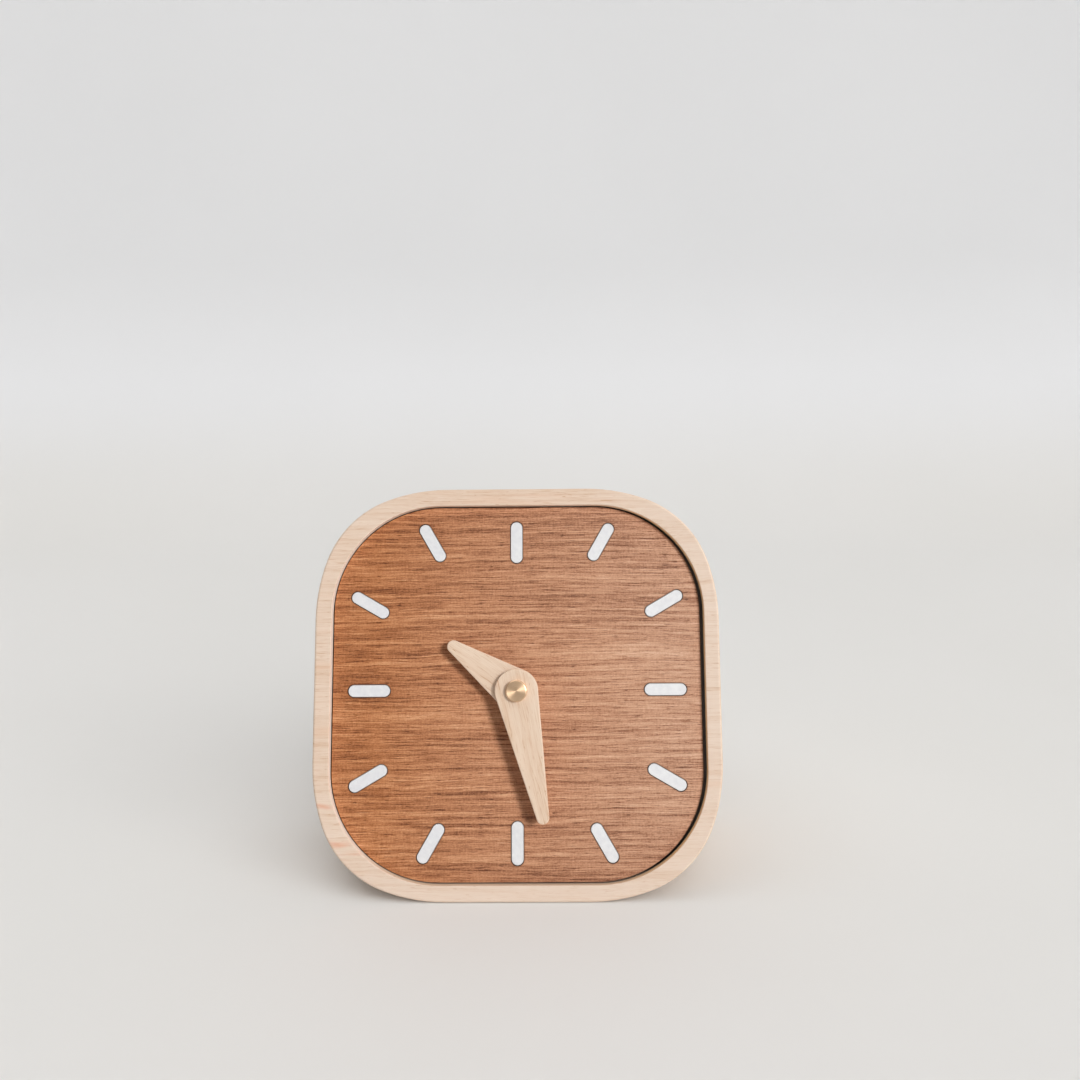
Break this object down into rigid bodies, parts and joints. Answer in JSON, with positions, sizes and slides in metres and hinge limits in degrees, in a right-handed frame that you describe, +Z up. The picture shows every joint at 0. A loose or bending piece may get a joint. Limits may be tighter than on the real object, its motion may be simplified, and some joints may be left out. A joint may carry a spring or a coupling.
{
  "type": "desk clock",
  "caption": "Free-standing leaning wooden desk clock: rounded-square case, dark veneered dial with white inlays, wooden hands, brass cap and a battery quartz movement.",
  "frame": {"origin": "on the surface that the clock stands on, under the centre of the clock's box", "axes": "+Z up, -Y towards the viewer in front of the dial, +X to the viewer's right"},
  "size_m": [0.15, 0.1044, 0.1401],
  "materials": {
    "pale_wood": "fine sanded, clear matt oil",
    "walnut_dial": "matt veneer with open grain",
    "white_inlay": "satin white sheet",
    "hand_wood": "fine sanded pale wood, clear matt oil",
    "brass": "turned and lacquered",
    "rubber": "matt",
    "black_plastic": "fine spark texture",
    "white_plastic": "moulded acetal",
    "steel": "bright drawn",
    "magnet": "sintered",
    "copper_wire": "enamelled winding wire",
    "circuit_board": "solder mask",
    "potting": "cured resin",
    "cell_jacket": "printed-film jacket without lettering, bare metal ends"
  },
  "bodies": {
    "root": {"case_body": "pale_wood", "dial_panel": "walnut_dial", "hour_marker_01": "white_inlay", "hour_marker_02": "white_inlay", "hour_marker_03": "white_inlay", "hour_marker_04": "white_inlay", "hour_marker_05": "white_inlay", "hour_marker_06": "white_inlay", "hour_marker_07": "white_inlay", "hour_marker_08": "white_inlay", "hour_marker_09": "white_inlay", "hour_marker_10": "white_inlay", "hour_marker_11": "white_inlay", "hour_marker_12": "white_inlay", "centre_bushing": "brass", "fixing_washer": "brass", "fixing_nut": "brass", "rubber_washer": "rubber", "movement_base": "black_plastic", "movement_cover": "black_plastic", "train_bridge": "white_plastic", "motion_post": "steel", "stator": "steel", "coil_core": "steel", "coil_bobbin": "white_plastic", "coil_winding": "copper_wire", "circuit_board": "circuit_board", "quartz_crystal": "steel", "timing_chip": "potting", "contact_plus": "steel", "contact_minus": "steel"},
    "minute": {"minute_hand": "hand_wood", "minute_hand_bush": "brass", "hand_cap_nut": "brass", "minute_pipe": "white_plastic", "clutch_washer": "steel"},
    "hour": {"hour_hand": "hand_wood", "hour_hand_bush": "brass", "hour_wheel": "white_plastic"},
    "motion": {"motion_wheel": "white_plastic"},
    "setting": {"setting_knob": "black_plastic", "setting_shaft": "black_plastic"},
    "seconds": {"seconds_wheel": "white_plastic", "seconds_arbor": "steel"},
    "centre": {"centre_wheel": "white_plastic"},
    "third": {"third_wheel": "white_plastic"},
    "fifth": {"fifth_wheel": "white_plastic"},
    "rotor": {"rotor_pinion": "white_plastic", "rotor_magnet": "magnet"},
    "cell": {"battery": "cell_jacket"}
  },
  "joints": [
    {"name": "minute_spin", "type": "hinge", "parent": "root", "child": "minute", "pos_m": [0, -0.00691, 0.06321], "axis": [0, -0.9336, 0.3584], "continuous": true},
    {"name": "hour_spin", "type": "hinge", "parent": "root", "child": "hour", "pos_m": [0, -0.00691, 0.06321], "axis": [0, -0.9336, 0.3584], "continuous": true},
    {"name": "motion_spin", "type": "hinge", "parent": "root", "child": "motion", "pos_m": [0, -0.00347, 0.07217], "axis": [0, -0.9336, 0.3584], "continuous": true},
    {"name": "setting_spin", "type": "hinge", "parent": "root", "child": "setting", "pos_m": [0.00831, -0.00175, 0.07665], "axis": [0, -0.9336, 0.3584], "continuous": true},
    {"name": "seconds_spin", "type": "hinge", "parent": "root", "child": "seconds", "pos_m": [0, -0.00691, 0.06321], "axis": [0, -0.9336, 0.3584], "continuous": true},
    {"name": "centre_spin", "type": "hinge", "parent": "root", "child": "centre", "pos_m": [0, -0.00691, 0.06321], "axis": [0, -0.9336, 0.3584], "continuous": true},
    {"name": "third_spin", "type": "hinge", "parent": "root", "child": "third", "pos_m": [-0.00736, -0.00539, 0.06718], "axis": [0, -0.9336, 0.3584], "continuous": true},
    {"name": "fifth_spin", "type": "hinge", "parent": "root", "child": "fifth", "pos_m": [0.00375, -0.00459, 0.06927], "axis": [0, -0.9336, 0.3584], "continuous": true},
    {"name": "rotor_spin", "type": "hinge", "parent": "root", "child": "rotor", "pos_m": [0.01045, -0.00501, 0.06817], "axis": [0, -0.9336, 0.3584], "continuous": true},
    {"name": "cell_slide", "type": "slide", "parent": "root", "child": "cell", "axis": [0, 0.9336, -0.3584], "range_m": [0, 0.03]}
  ],
  "couplings": [
    {"joint": "hour_spin", "follows": "minute_spin", "ratio": 0.083333},
    {"joint": "motion_spin", "follows": "minute_spin", "ratio": -0.33333},
    {"joint": "setting_spin", "follows": "minute_spin", "ratio": 1},
    {"joint": "third_spin", "follows": "seconds_spin", "ratio": -0.13333},
    {"joint": "centre_spin", "follows": "seconds_spin", "ratio": 0.016667},
    {"joint": "fifth_spin", "follows": "seconds_spin", "ratio": -4},
    {"joint": "rotor_spin", "follows": "seconds_spin", "ratio": 30}
  ]
}
